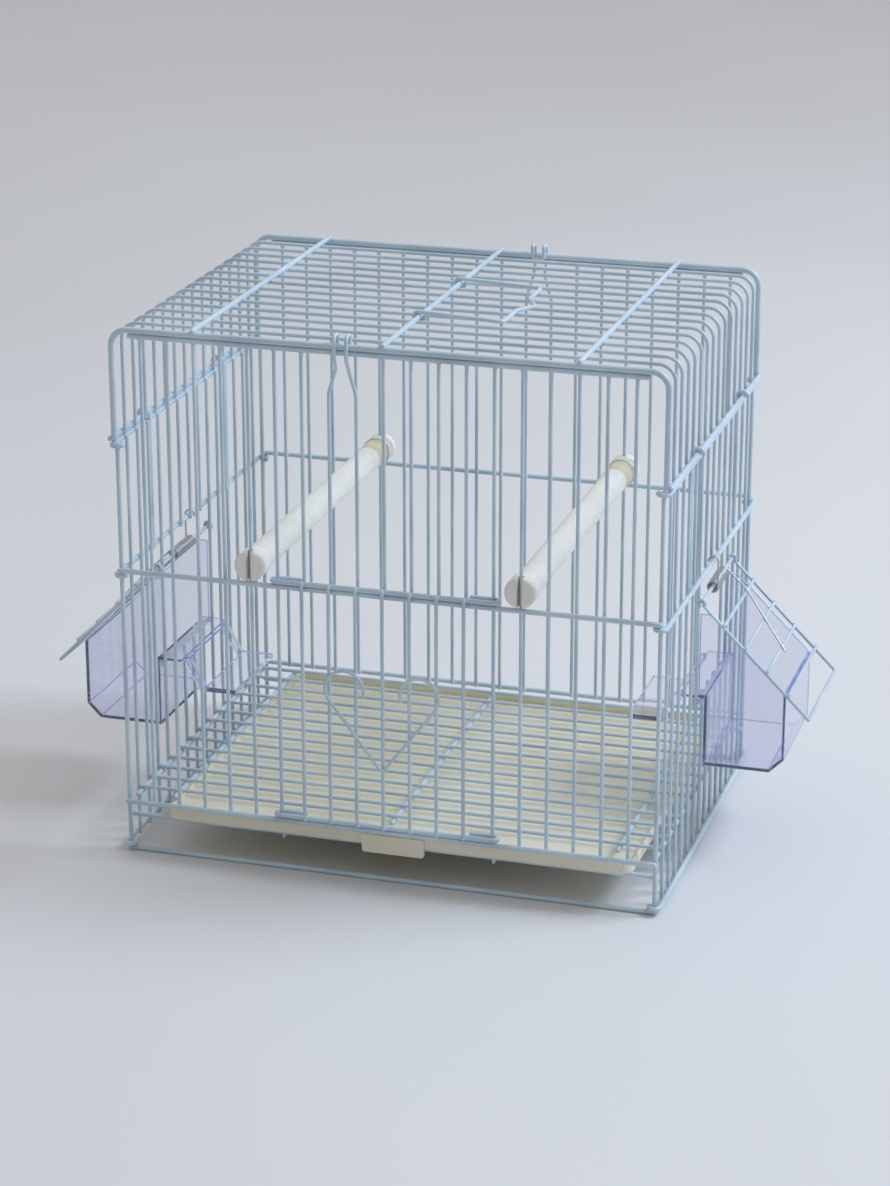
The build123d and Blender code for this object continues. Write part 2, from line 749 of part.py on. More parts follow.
for side_name, number in (("left", perch_wires[0]), ("right", perch_wires[1])):
    place = wire_x(number)
    with BuildPart() as shaft:
        with BuildSketch(Plane(origin=(place, -perch_shaft_end, perch_height), x_dir=(1, 0, 0),
                               z_dir=(0, 1, 0))):
            Circle(perch_shaft_radius)
            with PolarLocations(perch_shaft_radius, perch_grooves):
                Circle(perch_groove_radius, mode=Mode.SUBTRACT)
        extrude(amount=2 * perch_shaft_end)
    save(shaft, f"perch_shaft_{side_name}")

    for end_name, facing in (("front", -1), ("back", 1)):
        cap_plane = Plane(origin=(place, facing * perch_shaft_end, perch_height), x_dir=(1, 0, 0),
                          z_dir=(0, facing, 0))
        with BuildPart() as cap:
            with BuildSketch(cap_plane):
                Circle(perch_cap_radius)
            extrude(amount=perch_cap_length)
            fillet(cap.faces().sort_by(Axis.Y)[0 if facing < 0 else -1].edges(), perch_cap_round)
            with BuildSketch(cap_plane.offset(perch_cap_length - slot_depth)):
                Rectangle(slot_width, 3 * perch_cap_radius)
            extrude(amount=slot_depth, mode=Mode.SUBTRACT)
        save(cap, f"perch_cap_{side_name}_{end_name}")
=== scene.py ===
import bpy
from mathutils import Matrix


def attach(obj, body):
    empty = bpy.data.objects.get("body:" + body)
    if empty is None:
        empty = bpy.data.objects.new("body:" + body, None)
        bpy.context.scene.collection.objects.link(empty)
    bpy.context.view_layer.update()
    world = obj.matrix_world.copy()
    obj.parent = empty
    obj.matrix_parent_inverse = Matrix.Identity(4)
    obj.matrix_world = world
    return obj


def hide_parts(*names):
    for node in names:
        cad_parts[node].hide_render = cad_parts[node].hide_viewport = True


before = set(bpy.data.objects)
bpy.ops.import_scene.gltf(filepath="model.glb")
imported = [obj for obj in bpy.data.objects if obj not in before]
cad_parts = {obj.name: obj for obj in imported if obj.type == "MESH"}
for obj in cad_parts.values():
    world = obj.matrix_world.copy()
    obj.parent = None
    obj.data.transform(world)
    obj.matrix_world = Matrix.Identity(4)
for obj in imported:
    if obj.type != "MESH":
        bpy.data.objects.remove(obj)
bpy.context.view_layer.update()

from math import acos, asin, atan2, cos, degrees, hypot, pi, radians, sin, tan

import bmesh
import bpy
from mathutils import Vector

# Folding wire travel cage for a small bird. Sizes are millimetres and become metres when a mesh is made.
# +X is to the right, +Y to the back and +Z up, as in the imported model.
MM = 0.001

# Overall size, between wire centres
CAGE_WIDTH = 260.0
CAGE_DEPTH = 195.0
CAGE_HEIGHT = 260.0
BAYS_WIDE = 20
BAYS_DEEP = 15

# Wire radii
THIN = 0.9
RAIL = 1.25
EDGE = 1.5
POST = 1.1
HOOK = 1.1
HANDLE = 1.0
HEART = 0.8
FLAP = 0.8
SPRING = 0.45

# Where wires meet
WELD_DEPTH = 0.2
TOUCH = 0.05
RUNNING_GAP = 0.3
SEAT_GAP = 0.1
EYE_GAP = 0.15
GROUND_FLAT = 0.1
ROOF_LEG_OUT = 1.3
WELD_BEAD = 1.12

# Heights of the rails' centres
MIDDLE_RAIL = 143.5
SEAM_RAIL = 204.6
ROOF_RAIL = 207.4
SILL_RAIL = 26.0
GRILLE_RAIL = 26.0
TRAY_RAIL = 18.0
CUP_RAIL = 77.0

# Worked-out places
HALF_W = CAGE_WIDTH / 2
HALF_D = CAGE_DEPTH / 2
RAIL_OUT = THIN + RAIL - WELD_DEPTH
POST_Y = HALF_D + RAIL_OUT - RAIL - POST + TOUCH
POST_EYE = POST + RAIL + TOUCH
SIDE_RAIL_X = HALF_W + POST_EYE
SIDE_WIRE_X = SIDE_RAIL_X - RAIL_OUT
GRILLE_RAIL_X = SIDE_WIRE_X - RAIL_OUT
SIDE_GROUND = 3 * RAIL + SEAT_GAP - GROUND_FLAT
SIDE_MIDDLE = MIDDLE_RAIL - 2 * RAIL - SEAT_GAP
PANEL_TOP = CAGE_HEIGHT - EDGE - RAIL - TOUCH
ROOF_LEG_X = HALF_W + ROOF_LEG_OUT
ROOF_RAIL_X = ROOF_LEG_X + RAIL_OUT
ROOF_CROSS = CAGE_HEIGHT + RAIL_OUT
ROOF_BEND = 8.0
BEND_START = ROOF_LEG_X - ROOF_BEND
ROOF_END = HALF_D + EDGE
FRONT_END = HALF_W + POST
TRAY_RAIL_Y = POST_Y - POST - RAIL + TOUCH

# Uprights by number, and places that several pieces share
LATCH_WIRES = (8, 9)
DOORWAY = range(7, 14)
DOOR_GUIDE = 52.0
RUNNER_X = 52.0
CUT_WIRES = range(7, 11)
OPENING = (-19.5, 45.5)
PERCH_X = 65.0

# How finely round forms are divided
WIRE_SIDES = 14
SPRING_SIDES = 12
ARC_STEP = 12.0
ROOF_BEND_STEP = 9.0
HEART_STEP = 8.0
COIL_STEPS = 24

# Domed wire end: distance from the tip and width there, both as shares of the radius
DOME = ((0.0, 0.25), (0.12, 0.6), (0.45, 0.9))


def wire_x(number):
    """Place across the cage of an upright in the front or back panel."""
    return -HALF_W + CAGE_WIDTH / BAYS_WIDE * number


def wire_y(number):
    """Place along the cage of an upright in a side panel or of a roof wire."""
    return -HALF_D + CAGE_DEPTH / BAYS_DEEP * number


def turned(x, y, z, side):
    """A point of the right-hand side (1), or of the left-hand side by half a turn (-1)."""
    return Vector((side * x, side * y, z))


# Nodes and materials

def put(tree, kind, inputs=None, **settings):
    """Add a node with its settings; an input is a plain value or another node's output."""
    node = tree.nodes.new(kind)
    for key, value in settings.items():
        setattr(node, key, value)
    for key, value in (inputs or {}).items():
        socket = node.inputs[key]
        if isinstance(value, bpy.types.NodeSocket):
            tree.links.new(value, socket)
        else:
            socket.default_value = value
    return node


def hex_colour(code):
    """Linear RGBA of an sRGB hex colour."""
    parts = [int(code[place:place + 2], 16) / 255 for place in (0, 2, 4)]
    linear = [part / 12.92 if part <= 0.04045 else ((part + 0.055) / 1.055) ** 2.4 for part in parts]
    return (*linear, 1.0)


def new_material(name):
    """A material with a bare surface shader; returns it with its tree, shader and coordinates."""
    material = bpy.data.materials.new(name)
    material.use_nodes = True
    tree = material.node_tree
    tree.nodes.clear()
    shader = put(tree, "ShaderNodeBsdfPrincipled")
    put(tree, "ShaderNodeOutputMaterial", {"Surface": shader.outputs["BSDF"]})
    place = put(tree, "ShaderNodeTexCoord").outputs["Object"]
    return material, tree, shader, place


def noise(tree, place, size_mm, detail=2.0):
    """Noise whose features are about the given size."""
    return put(tree, "ShaderNodeTexNoise", {"Vector": place, "Scale": 1 / (size_mm * MM), "Detail": detail})


def ramp(tree, factor, stops):
    """Colours, or greys, spread over a factor."""
    node = put(tree, "ShaderNodeValToRGB", {"Fac": factor})
    elements = node.color_ramp.elements
    for index, (position, colour) in enumerate(stops):
        element = elements[index] if index < 2 else elements.new(position)
        element.position = position
        element.color = hex_colour(colour) if isinstance(colour, str) else (colour, colour, colour, 1.0)
    return node.outputs["Color"]


def bumped(tree, shader, heights):
    """Chain bumps into the shader's normal; each is a height socket, a depth in mm and a strength."""
    normal = None
    for height, depth_mm, strength in heights:
        inputs = {"Height": height, "Distance": depth_mm * MM, "Strength": strength}
        if normal is not None:
            inputs["Normal"] = normal
        normal = put(tree, "ShaderNodeBump", inputs).outputs["Normal"]
    tree.links.new(normal, shader.inputs["Normal"])


def powder_coat():
    """White-blue powder coat on steel wire: a satin skin with slight orange peel and greyer patches."""
    material, tree, shader, place = new_material("powder_coated_wire")
    drift = noise(tree, place, 34.0).outputs["Fac"]
    peel = noise(tree, place, 1.6, 1.0).outputs["Fac"]
    colour = ramp(tree, drift, ((0.3, "B9CCD8"), (0.5, "C8DAE5"), (0.72, "D5E5EE")))
    tree.links.new(colour, shader.inputs["Base Color"])
    tree.links.new(ramp(tree, peel, ((0.3, 0.30), (0.7, 0.44))), shader.inputs["Roughness"])
    shader.inputs["Coat Weight"].default_value = 0.5
    shader.inputs["Coat Roughness"].default_value = 0.15
    bumped(tree, shader, [(peel, 0.12, 0.35)])
    return material


def spring_steel():
    """Zinc-plated spring wire: a bright grey metal, finely mottled."""
    material, tree, shader, place = new_material("zinc_plated_spring_wire")
    mottle = noise(tree, place, 0.7, 3.0).outputs["Fac"]
    tree.links.new(ramp(tree, mottle, ((0.3, "9FA4A6"), (0.7, "C9CCCC"))), shader.inputs["Base Color"])
    tree.links.new(ramp(tree, mottle, ((0.2, 0.28), (0.8, 0.45))), shader.inputs["Roughness"])
    shader.inputs["Metallic"].default_value = 0.85
    return material


def tray_polystyrene():
    """Injection-moulded cream polystyrene: matte, faintly mottled, finely grained, scuffed front to back."""
    material, tree, shader, place = new_material("moulded_tray_polystyrene")
    mottle = noise(tree, place, 48.0, 3.0).outputs["Fac"]
    grain = noise(tree, place, 0.9, 2.0).outputs["Fac"]
    drawn_out = put(tree, "ShaderNodeMapping", {"Vector": place, "Scale": (1.0, 0.08, 1.0)}).outputs["Vector"]
    scuff = put(tree, "ShaderNodeTexNoise", {
        "Vector": drawn_out, "Scale": 220.0, "Detail": 4.0}).outputs["Fac"]
    colour = ramp(tree, mottle, ((0.28, "E8DFC4"), (0.52, "EEE7D0"), (0.75, "F2EDDB")))
    tree.links.new(colour, shader.inputs["Base Color"])
    tree.links.new(ramp(tree, scuff, ((0.35, 0.46), (0.72, 0.62))), shader.inputs["Roughness"])
    shader.inputs["IOR"].default_value = 1.55
    bumped(tree, shader, [(grain, 0.05, 0.4), (scuff, 0.03, 0.2)])
    return material


def perch_plastic(name, low, high):
    """Moulded polyethylene: waxy, slightly translucent, with soft gloss."""
    material, tree, shader, place = new_material(name)
    cloud = noise(tree, place, 18.0, 2.0).outputs["Fac"]
    grain = noise(tree, place, 1.1, 2.0).outputs["Fac"]
    tree.links.new(ramp(tree, cloud, ((0.3, low), (0.7, high))), shader.inputs["Base Color"])
    tree.links.new(ramp(tree, grain, ((0.3, 0.30), (0.7, 0.42))), shader.inputs["Roughness"])
    shader.inputs["Subsurface Weight"].default_value = 0.12
    shader.inputs["Subsurface Radius"].default_value = (0.004, 0.003, 0.002)
    shader.inputs["IOR"].default_value = 1.5
    bumped(tree, shader, [(grain, 0.04, 0.3)])
    return material


def clear_polystyrene():
    """Clear injection-moulded polystyrene: glossy, with a faint violet-blue cast and slight ripple."""
    material, tree, shader, place = new_material("clear_feeder_polystyrene")
    ripple = noise(tree, place, 14.0, 1.0).outputs["Fac"]
    scratches = noise(tree, place, 1.3, 4.0).outputs["Fac"]
    shader.inputs["Base Color"].default_value = hex_colour("F5F6FF")
    shader.inputs["Roughness"].default_value = 0.03
    shader.inputs["Transmission Weight"].default_value = 0.94
    shader.inputs["IOR"].default_value = 1.26
    bumped(tree, shader, [(ripple, 0.10, 0.12), (scratches, 0.01, 0.15)])
    return material


def resin_edge_painted_light():
    """The same resin along the thickness of a wall, with painted light: rims and corners get a deeper
    violet-blue, less clear finish that stands in for light travelling along the wall, over the resin's own
    faint tint.
    """
    material, tree, shader, place = new_material("clear_feeder_polystyrene_edge_painted_light")
    shade = noise(tree, place, 9.0).outputs["Fac"]
    tree.links.new(ramp(tree, shade, ((0.3, "A6B5F2"), (0.7, "C6D0FB"))), shader.inputs["Base Color"])
    shader.inputs["Roughness"].default_value = 0.12
    shader.inputs["Transmission Weight"].default_value = 0.35
    shader.inputs["IOR"].default_value = 1.26
    return material


def floor_finish():
    """Pale matte table top."""
    material, tree, shader, place = new_material("pale_table_top")
    tone = noise(tree, place, 600.0, 2.0).outputs["Fac"]
    tree.links.new(ramp(tree, tone, ((0.3, "E3E2E0"), (0.7, "E8E8E7"))), shader.inputs["Base Color"])
    shader.inputs["Roughness"].default_value = 0.7
    return material


COAT = powder_coat()
ZINC = spring_steel()
TRAY_FINISH = tray_polystyrene()
IVORY = perch_plastic("moulded_ivory_polyethylene", "F3EFE2", "FAF7EE")
YELLOWED = perch_plastic("moulded_yellowed_polyethylene", "E2D8B2", "EAE2C4")
CLEAR = clear_polystyrene()
# Painted light: the clear pieces' rims get a deeper violet-blue, less clear finish for light travelling along
# the wall's thickness.
CLEAR_EDGE_PAINTED_LIGHT = resin_edge_painted_light()


# Objects

def new_object(name, data):
    """An object in the scene for a mesh, a lamp or a camera."""
    made = bpy.data.objects.new(name, data)
    bpy.context.scene.collection.objects.link(made)
    return made


def apply_modifiers(piece):
    """Give a piece the mesh that its modifiers make, and drop them."""
    depsgraph = bpy.context.evaluated_depsgraph_get()
    made = bpy.data.meshes.new_from_object(piece.evaluated_get(depsgraph), depsgraph=depsgraph)
    made.name = piece.name
    piece.modifiers.clear()
    piece.data = made


# Wirework: paths become round wires and each weld a small bead

def build_wirework_tree():
    """Geometry Nodes: tubes along the mesh's edges, beads on its welded points, one finish."""
    tree = bpy.data.node_groups.new("wirework", "GeometryNodeTree")
    tree.interface.new_socket(name="Paths", in_out="INPUT", socket_type="NodeSocketGeometry")
    sides = tree.interface.new_socket(name="Wire sides", in_out="INPUT", socket_type="NodeSocketInt")
    bead = tree.interface.new_socket(name="Bead radius", in_out="INPUT", socket_type="NodeSocketFloat")
    finish = tree.interface.new_socket(name="Finish", in_out="INPUT", socket_type="NodeSocketMaterial")
    tree.interface.new_socket(name="Wires", in_out="OUTPUT", socket_type="NodeSocketGeometry")
    given = put(tree, "NodeGroupInput").outputs
    radius = put(tree, "GeometryNodeInputNamedAttribute", {"Name": "wire_radius"}, data_type="FLOAT")
    welded = put(tree, "GeometryNodeInputNamedAttribute", {"Name": "welded"}, data_type="BOOLEAN")
    routes = put(tree, "GeometryNodeMeshToCurve", {"Mesh": given["Paths"]})
    section = put(tree, "GeometryNodeCurvePrimitiveCircle", {
        "Resolution": given["Wire sides"], "Radius": 1.0})
    tubes = put(tree, "GeometryNodeCurveToMesh", {
        "Curve": routes.outputs["Curve"],
        "Profile Curve": section.outputs["Curve"],
        "Scale": radius.outputs["Attribute"],
        "Fill Caps": True,
    })
    ball = put(tree, "GeometryNodeMeshIcoSphere", {"Radius": given["Bead radius"], "Subdivisions": 3})
    beads = put(tree, "GeometryNodeInstanceOnPoints", {
        "Points": given["Paths"],
        "Selection": welded.outputs["Attribute"],
        "Instance": ball.outputs["Mesh"],
    })
    solid_beads = put(tree, "GeometryNodeRealizeInstances", {"Geometry": beads.outputs["Instances"]})
    joined = put(tree, "GeometryNodeJoinGeometry")
    tree.links.new(tubes.outputs["Mesh"], joined.inputs["Geometry"])
    tree.links.new(solid_beads.outputs["Geometry"], joined.inputs["Geometry"])
    smooth = put(tree, "GeometryNodeSetShadeSmooth", {"Geometry": joined.outputs["Geometry"]})
    coated = put(tree, "GeometryNodeSetMaterial", {
        "Geometry": smooth.outputs["Geometry"], "Material": given["Finish"]})
    put(tree, "NodeGroupOutput", {"Wires": coated.outputs["Geometry"]})
    return tree, {"sides": sides.identifier, "bead": bead.identifier, "finish": finish.identifier}


WIREWORK, WIREWORK_INPUTS = build_wirework_tree()


class Wires:
    """The wires and welds of one piece, in millimetres."""

    def __init__(self):
        self.points = []
        self.radii = []
        self.edges = []
        self.welds = []

    def path(self, points, radius, rounded=(True, True)):
        """One wire along its points; a rounded end is domed as the coat leaves it."""
        points = [Vector(point) for point in points]
        scales = [1.0] * len(points)
        for at_end, wanted in ((False, rounded[0]), (True, rounded[1])):
            if not wanted:
                continue
            tip, inner = (points[-1], points[-2]) if at_end else (points[0], points[1])
            way = (inner - tip).normalized()
            extra = [(tip + way * share * radius, scale) for share, scale in DOME]
            extra.append((tip + way * radius, 1.0))
            if at_end:
                points = points[:-1] + [point for point, _ in reversed(extra)]
                scales = scales[:-1] + [scale for _, scale in reversed(extra)]
            else:
                points = [point for point, _ in extra] + points[1:]
                scales = [scale for _, scale in extra] + scales[1:]
        start = len(self.points)
        self.points += points
        self.radii += [radius * scale for scale in scales]
        self.edges += [(start + step, start + step + 1) for step in range(len(points) - 1)]

    def weld(self, point):
        """A weld where two wires cross."""
        self.welds.append(Vector(point))

    def make(self, name, finish, sides=WIRE_SIDES):
        """The finished mesh object."""
        count = len(self.points)
        mesh = bpy.data.meshes.new(name)
        mesh.from_pydata([point * MM for point in self.points + self.welds], self.edges, [])
        radius = mesh.attributes.new("wire_radius", "FLOAT", "POINT")
        radius.data.foreach_set("value", [value * MM for value in self.radii] + [0.0] * len(self.welds))
        welded = mesh.attributes.new("welded", "BOOLEAN", "POINT")
        welded.data.foreach_set("value", [False] * count + [True] * len(self.welds))
        piece = new_object(name, mesh)
        modifier = piece.modifiers.new("wirework", "NODES")
        modifier.node_group = WIREWORK
        modifier[WIREWORK_INPUTS["sides"]] = sides
        modifier[WIREWORK_INPUTS["bead"]] = WELD_BEAD * MM
        modifier[WIREWORK_INPUTS["finish"]] = finish
        apply_modifiers(piece)
        return piece


def arc(centre, across, up, radius, start, turn, step=ARC_STEP):
    """Points on an arc, in degrees, in the plane of two unit vectors."""
    count = max(2, int(abs(turn) / step) + 1)
    centre, across, up = Vector(centre), Vector(across), Vector(up)
    angles = [radians(start + turn * index / count) for index in range(count + 1)]
    return [centre + across * radius * cos(angle) + up * radius * sin(angle) for angle in angles]


def bent(corners, bends):
    """Points of a route whose corners are rounded to the given radii."""
    corners = [Vector(corner) for corner in corners]
    points = [corners[0]]
    for before, corner, after, radius in zip(corners, corners[1:], corners[2:], bends):
        first = (corner - before).normalized()
        second = (after - corner).normalized()
        angle = acos(max(-1.0, min(1.0, first.dot(second))))
        start = corner - first * radius * tan(angle / 2)
        inward = (second - first * first.dot(second)).normalized()
        count = max(2, int(degrees(angle) / ARC_STEP) + 1)
        for index in range(count + 1):
            part = angle * index / count
            points.append(start + first * radius * sin(part) + inward * radius * (1 - cos(part)))
    points.append(corners[-1])
    return points


def place_piece(piece, body, slot, *nodes):
    """Let a finished piece ride on its body in place of its CAD nodes."""
    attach(piece, body)
    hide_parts(*nodes)


def place_wires(wires, node, body="cage"):
    """Make coated wires and let them stand for a CAD node."""
    place_piece(wires.make(f"{node}_wires", COAT), body, "coated_wire", node)


# Front and back panels

# A latch: half the width of its neck, its top, the drops from the roof to its shoulder, neck, step and tip,
# and the radii of its bends
LATCH_NECK = 2.9
LATCH_TOP = CAGE_HEIGHT + 5.4
LATCH_DROPS = (22.0, 10.0, 5.5, 1.2)
LATCH_BENDS = (8.0, 2.0, 2.0, 2.4, 1.4, 1.4)


def latch_places(facing):
    """Places across the cage of the two uprights that a latch is made of."""
    return sorted(-facing * wire_x(number) for number in LATCH_WIRES)


def panel(facing, short_wires):
    """Uprights and three rails; uprights over the doorway stop at the middle rail."""
    wires = Wires()
    plane = facing * HALF_D
    face = facing * (HALF_D + THIN - WELD_DEPTH / 2)
    rail_plane = facing * (HALF_D + RAIL_OUT)
    latched = [round(place, 3) for place in latch_places(facing)]
    for number in range(1, BAYS_WIDE):
        x = wire_x(number)
        bottom = MIDDLE_RAIL if number in short_wires else SILL_RAIL
        if round(x, 3) in latched:
            continue
        wires.path([(x, plane, bottom - THIN), (x, plane, PANEL_TOP)], THIN, (True, False))
        wires.weld((x, plane, PANEL_TOP - RAIL))
        wires.weld((x, face, MIDDLE_RAIL))
        if bottom == SILL_RAIL:
            wires.weld((x, face, SILL_RAIL))
    for height in (MIDDLE_RAIL, SILL_RAIL):
        wires.path([(-FRONT_END, rail_plane, height), (FRONT_END, rail_plane, height)], RAIL)
    wires.path([(-BEND_START, plane, PANEL_TOP), (BEND_START, plane, PANEL_TOP)], RAIL)
    return wires


def latch(facing, foot):
    """A hairpin of two uprights that hooks over the roof's edge wire."""
    wires = Wires()
    inner = facing * (HALF_D - WELD_DEPTH + TOUCH)
    outer = facing * (HALF_D + EDGE + THIN + RUNNING_GAP)
    behind = facing * (HALF_D - EDGE - THIN - RUNNING_GAP)
    first, last = latch_places(facing)
    middle = (first + last) / 2
    neck = middle - LATCH_NECK
    shoulder, narrow, step, tip = (CAGE_HEIGHT - drop for drop in LATCH_DROPS)
    half = [(first, inner, foot), (first, inner, shoulder), (neck, inner, narrow), (neck, outer, step),
            (neck, outer, LATCH_TOP), (neck, behind, LATCH_TOP), (neck, behind, tip)]
    other = [(2 * middle - x, y, z) for x, y, z in reversed(half)]
    wires.path(bent(half + other, LATCH_BENDS + LATCH_BENDS[::-1]), THIN)
    for x in (first, last):
        for height in (MIDDLE_RAIL, SILL_RAIL):
            if height >= foot:
                wires.weld((x, facing * (HALF_D + THIN - WELD_DEPTH / 2), height))
    return wires


place_wires(panel(-1, DOORWAY), "front_panel")
place_wires(panel(1, ()), "back_panel")
place_wires(latch(-1, MIDDLE_RAIL - RAIL), "roof_latch_front")
place_wires(latch(1, SILL_RAIL - RAIL), "roof_latch_back")

# Posts, ground rails, tray rails and runners

for end_name, facing in (("front", -1), ("back", 1)):
    for side_name, side in (("left", -1), ("right", 1)):
        post = Wires()
        x = side * HALF_W
        post.path([(x, facing * POST_Y, RAIL), (x, facing * POST_Y, SEAM_RAIL + RAIL)], POST)
        place_wires(post, f"corner_post_{end_name}_{side_name}")
    for kind, y, height in (("ground_rail", POST_Y, RAIL), ("tray_rail", TRAY_RAIL_Y, TRAY_RAIL)):
        rail = Wires()
        rail.path([(-FRONT_END, facing * y, height), (FRONT_END, facing * y, height)], RAIL)
        for side in (-1, 1):
            rail.weld((side * HALF_W, facing * (y + (POST_Y - y) / 2), height + (RAIL if y == POST_Y else 0)))
        place_wires(rail, f"{kind}_{end_name}")

runners = Wires()
for x in (-RUNNER_X, RUNNER_X):
    height = TRAY_RAIL - RAIL - THIN + TOUCH
    end = TRAY_RAIL_Y + RAIL
    runners.path([(x, -end, height), (x, end, height)], THIN)
    for facing in (-1, 1):
        runners.weld((x, facing * TRAY_RAIL_Y, TRAY_RAIL - RAIL))
place_wires(runners, "tray_runners")


# Side panels

POST_EYE_TURN = 240

# Each roof hook stands beside an upright: its number, and 1 for behind it or -1 for in front
HOOK_PLACES = ((4, 1), (12, -1))
HOOK_TURN = 200
GRILLE_RAIL_SHORT = 6.5
CUP_RAIL_PAST = 1.8


def side_panel(side):
    """Uprights, rails with eyes round the posts, the grille's rail, the feeder's rail and the roof hooks."""
    wires = Wires()
    foot = SIDE_GROUND - THIN
    head = SEAM_RAIL + THIN
    contact = SIDE_WIRE_X + THIN - WELD_DEPTH / 2
    inner_contact = SIDE_WIRE_X - THIN + WELD_DEPTH / 2
    for number in range(1, BAYS_DEEP):
        y = wire_y(number)
        spans = [(foot, head)]
        if number in CUT_WIRES:
            spans = [(foot, CUP_RAIL + THIN), (SIDE_MIDDLE - THIN, head)]
        for low, high in spans:
            wires.path([turned(SIDE_WIRE_X, y, low, side), turned(SIDE_WIRE_X, y, high, side)], THIN)
        for height in (SIDE_GROUND, SIDE_MIDDLE, SEAM_RAIL):
            wires.weld(turned(contact, y, height, side))
        wires.weld(turned(inner_contact, y, GRILLE_RAIL, side))
        if OPENING[0] <= y <= OPENING[1]:
            wires.weld(turned(contact, y, CUP_RAIL, side))
    for height in (SIDE_GROUND, SIDE_MIDDLE, SEAM_RAIL):
        eyes = [arc((side * HALF_W, facing * POST_Y, height), (side, 0, 0), (0, facing, 0),
                    POST_EYE, 0, POST_EYE_TURN) for facing in (-1, 1)]
        wires.path(list(reversed(eyes[0])) + eyes[1], RAIL)
    end = HALF_D - GRILLE_RAIL_SHORT
    wires.path([turned(GRILLE_RAIL_X, y, GRILLE_RAIL, side) for y in (-end, end)], RAIL)
    ends = (OPENING[0] - CUP_RAIL_PAST, OPENING[1] + CUP_RAIL_PAST)
    wires.path([turned(SIDE_RAIL_X, y, CUP_RAIL, side) for y in ends], RAIL)
    curl = RAIL + HOOK + RUNNING_GAP
    shift = THIN + HOOK + RUNNING_GAP
    for number, way in HOOK_PLACES:
        y = wire_y(number) + way * shift
        centre = turned(ROOF_RAIL_X, y, ROOF_RAIL, side)
        top = arc(centre, (side, 0, 0), (0, 0, 1), curl, 180, -HOOK_TURN)
        wires.path([turned(ROOF_RAIL_X - curl, y, SIDE_MIDDLE - HOOK, side)] + top, HOOK)
    return wires


place_wires(side_panel(-1), "side_panel_left")
place_wires(side_panel(1), "side_panel_right")

# Floor grille

GRILLE = GRILLE_RAIL + RAIL + THIN - TOUCH
GRILLE_END = SIDE_WIRE_X - THIN - SEAT_GAP
GRILLE_CROSS_PLACES = (-110.0, 0.0, 110.0)
GRILLE_CROSS_END = HALF_D - 8.0
grille = Wires()
for number in range(1, BAYS_DEEP):
    y = wire_y(number)
    grille.path([(-GRILLE_END, y, GRILLE), (GRILLE_END, y, GRILLE)], THIN)
    for x in GRILLE_CROSS_PLACES:
        grille.weld((x, y, GRILLE - THIN + WELD_DEPTH / 2))
for x in GRILLE_CROSS_PLACES:
    grille.path([(x, end, GRILLE - RAIL_OUT) for end in (-GRILLE_CROSS_END, GRILLE_CROSS_END)], RAIL)
place_wires(grille, "floor_grille")


# Roof

ROOF_CROSS_PLACES = (-91.0, 0.0, 91.0)


def roof_wire(number):
    """Radius of a wire that runs across the roof; the first and the last are the thick edge wires."""
    return EDGE if number in (0, BAYS_DEEP) else THIN


roof = Wires()
for number in range(BAYS_DEEP + 1):
    y = wire_y(number)
    flat = [(-BEND_START, y, CAGE_HEIGHT), (BEND_START, y, CAGE_HEIGHT)]
    roof.path(flat, roof_wire(number), (False, False))
    for x in ROOF_CROSS_PLACES:
        roof.weld((x, y, CAGE_HEIGHT + THIN - WELD_DEPTH / 2))
for x in ROOF_CROSS_PLACES:
    roof.path([(x, -ROOF_END, ROOF_CROSS), (x, ROOF_END, ROOF_CROSS)], RAIL)
place_wires(roof, "roof_top_grille")

for side_name, side in (("left", -1), ("right", 1)):
    leg = Wires()
    for number in range(BAYS_DEEP + 1):
        y = wire_y(number)
        centre = (side * BEND_START, y, CAGE_HEIGHT - ROOF_BEND)
        bend = arc(centre, (side, 0, 0), (0, 0, 1), ROOF_BEND, 90, -90, ROOF_BEND_STEP)
        leg.path(bend + [(side * ROOF_LEG_X, y, ROOF_RAIL - RAIL)], roof_wire(number), (False, True))
        leg.weld((side * (ROOF_LEG_X + THIN - WELD_DEPTH / 2), y, ROOF_RAIL))
    leg.path([(side * ROOF_RAIL_X, -ROOF_END, ROOF_RAIL), (side * ROOF_RAIL_X, ROOF_END, ROOF_RAIL)], RAIL)
    place_wires(leg, f"roof_leg_{side_name}")

# Carrying handle

EYE = RAIL + HANDLE + EYE_GAP
HANDLE_EYE_TURN = 290
HANDLE_REACH = 40.5
HANDLE_BEND = 3.0
NOTCH = 6.0
NOTCH_HALF = 11.0
HANDLE_Y = (-43.0, 23.5)
span = HANDLE_REACH + NOTCH
rise = CAGE_HEIGHT + THIN + HANDLE + RUNNING_GAP - ROOF_CROSS
tilt = asin(EYE / hypot(span, rise)) - atan2(rise, span)
along = Vector((cos(tilt), 0, -sin(tilt)))
root = Vector((EYE * sin(tilt), 0, ROOF_CROSS + EYE * cos(tilt)))
reach = HANDLE_REACH * cos(tilt)
middle = sum(HANDLE_Y) / 2
corners = [(0, HANDLE_Y[0]), (reach, HANDLE_Y[0]), (reach, middle - NOTCH_HALF), (reach + NOTCH, middle),
           (reach, middle + NOTCH_HALF), (reach, HANDLE_Y[1]), (0, HANDLE_Y[1])]
bail = bent([root + along * out + Vector((0, y, 0)) for out, y in corners], [HANDLE_BEND] * 5)
eyes = [arc((0, y, ROOF_CROSS), (1, 0, 0), (0, 0, 1), EYE, 90 - degrees(tilt), HANDLE_EYE_TURN)
        for y in HANDLE_Y]
handle = Wires()
handle.path(list(reversed(eyes[0])) + bail[1:-1] + eyes[1], HANDLE)
place_wires(handle, "carrying_handle", "handle")

# Door and heart

